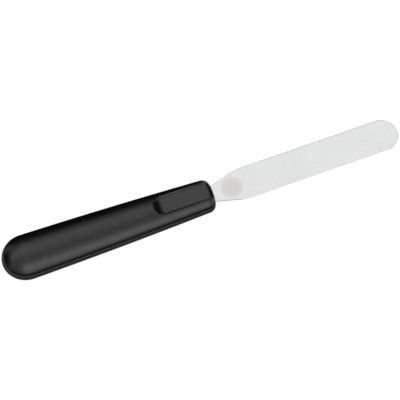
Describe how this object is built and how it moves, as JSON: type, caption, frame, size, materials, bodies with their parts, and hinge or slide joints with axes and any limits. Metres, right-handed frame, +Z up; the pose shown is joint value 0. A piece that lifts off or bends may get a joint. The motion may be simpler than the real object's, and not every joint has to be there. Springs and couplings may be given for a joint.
{
  "type": "icing spatula",
  "caption": "Straight icing spatula: a narrow round-ended stainless blade with a flared neck, in a black moulded two-shell handle with a thumb rest.",
  "frame": {"origin": "under the middle of the overall length, on the plane of the handle's flat underside", "axes": "+X from the handle's butt to the blade's tip, +Y across the blade, +Z up with the thumb rest on top"},
  "size_m": [0.2286, 0.0256, 0.0184],
  "materials": {
    "blade_steel": "fine satin stainless steel, grain along the blade",
    "handle_plastic": "black moulded polypropylene, soft satin sheen"
  },
  "bodies": {
    "root": {"blade": "blade_steel", "handle_upper_shell": "handle_plastic", "handle_lower_shell": "handle_plastic"}
  },
  "joints": []
}
